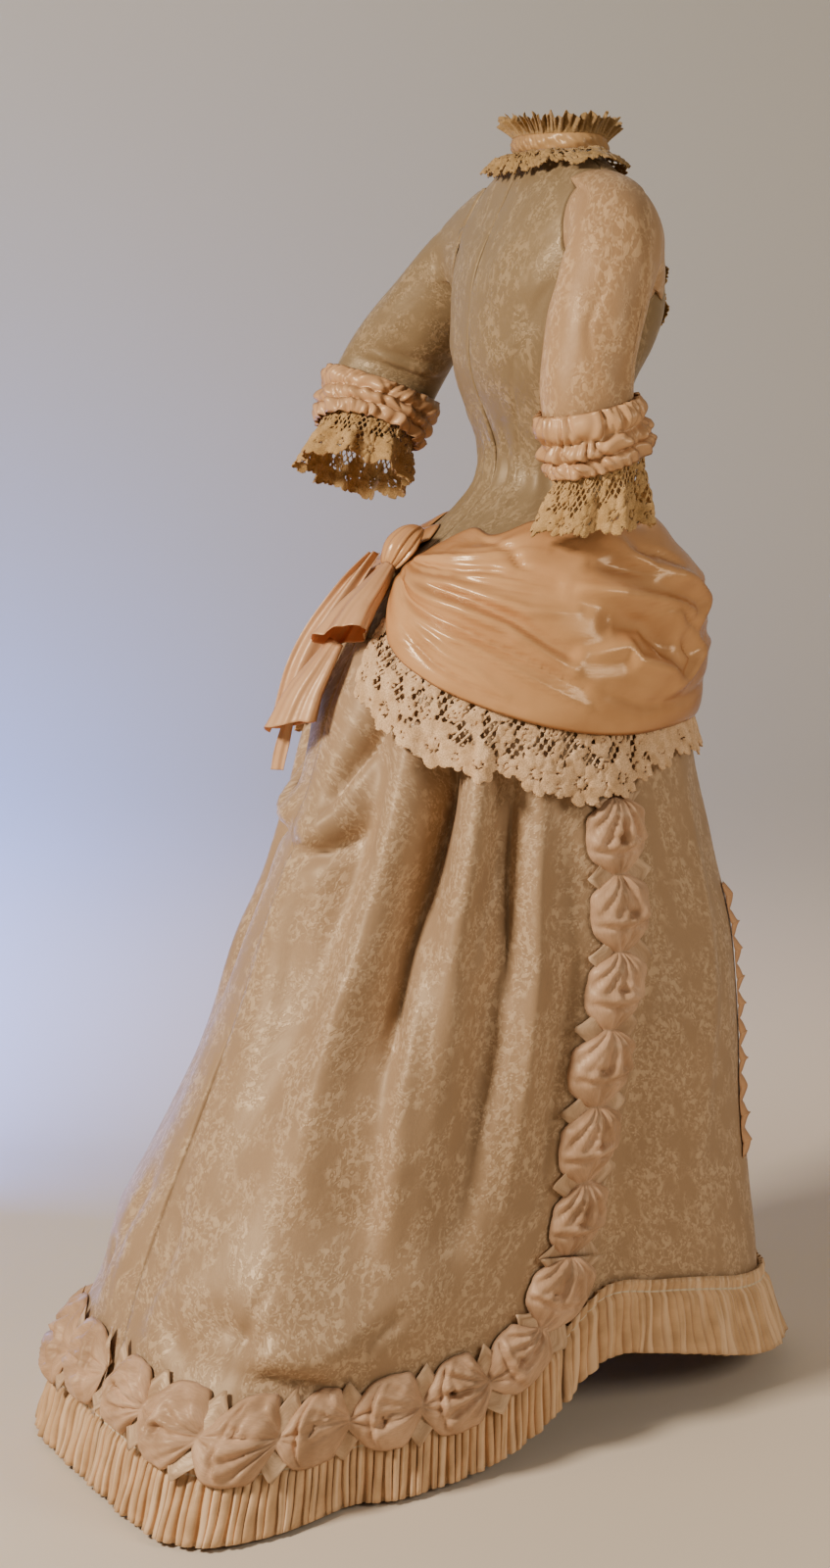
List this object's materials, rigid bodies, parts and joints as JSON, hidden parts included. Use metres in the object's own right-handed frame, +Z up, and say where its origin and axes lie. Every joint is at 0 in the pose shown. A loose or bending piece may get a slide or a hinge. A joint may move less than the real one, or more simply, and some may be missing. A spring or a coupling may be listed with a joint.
{
  "type": "bustle dress",
  "caption": "Long hollow dress in brocade with a swathed satin sash and bow over a bustle, lace, rosette trim, and a pleated hem with a short train.",
  "frame": {"origin": "middle of the wearer's shoulders at the base of the neck, where the dress is held up", "axes": "the dress faces -Y, its left side is at +X, +Z is up"},
  "size_m": [0.6127, 0.9252, 1.4788],
  "materials": {
    "brocade": "matt silk brocade",
    "taffeta": "matt silk taffeta",
    "satin": "glossy silk satin",
    "lace": "cream-tan cotton lace"
  },
  "bodies": {
    "root": {"bodice_back_left": "brocade", "bodice_back_right": "brocade", "bodice_front_left": "brocade", "bodice_front_right": "brocade", "bodice_side_back_left": "brocade", "bodice_side_back_right": "brocade", "bow_knot": "satin", "bow_loop": "satin", "bow_tail_narrow": "satin", "bow_tail_outer": "satin", "bow_tail_wide": "satin", "collar_band": "satin", "collar_frill": "lace", "collar_lace_left": "lace", "collar_lace_right": "lace", "cuff_lace_back_left": "lace", "cuff_lace_back_right": "lace", "cuff_lace_front_left": "lace", "cuff_lace_front_right": "lace", "cuff_left": "satin", "cuff_right": "satin", "flounce_front": "taffeta", "flounce_train_left": "taffeta", "flounce_train_right": "taffeta", "front_lace_left": "lace", "front_lace_right": "lace", "front_loops_left": "taffeta", "front_loops_right": "taffeta", "hip_lace_left": "lace", "hip_lace_right": "lace", "sash_left": "satin", "sash_right": "satin", "skirt_back_left": "brocade", "skirt_back_right": "brocade", "skirt_front": "brocade", "sleeve_left": "brocade", "sleeve_right": "brocade", "trim_hem_left": "taffeta", "trim_hem_right": "taffeta", "trim_side_left": "taffeta", "trim_side_right": "taffeta"}
  },
  "joints": []
}
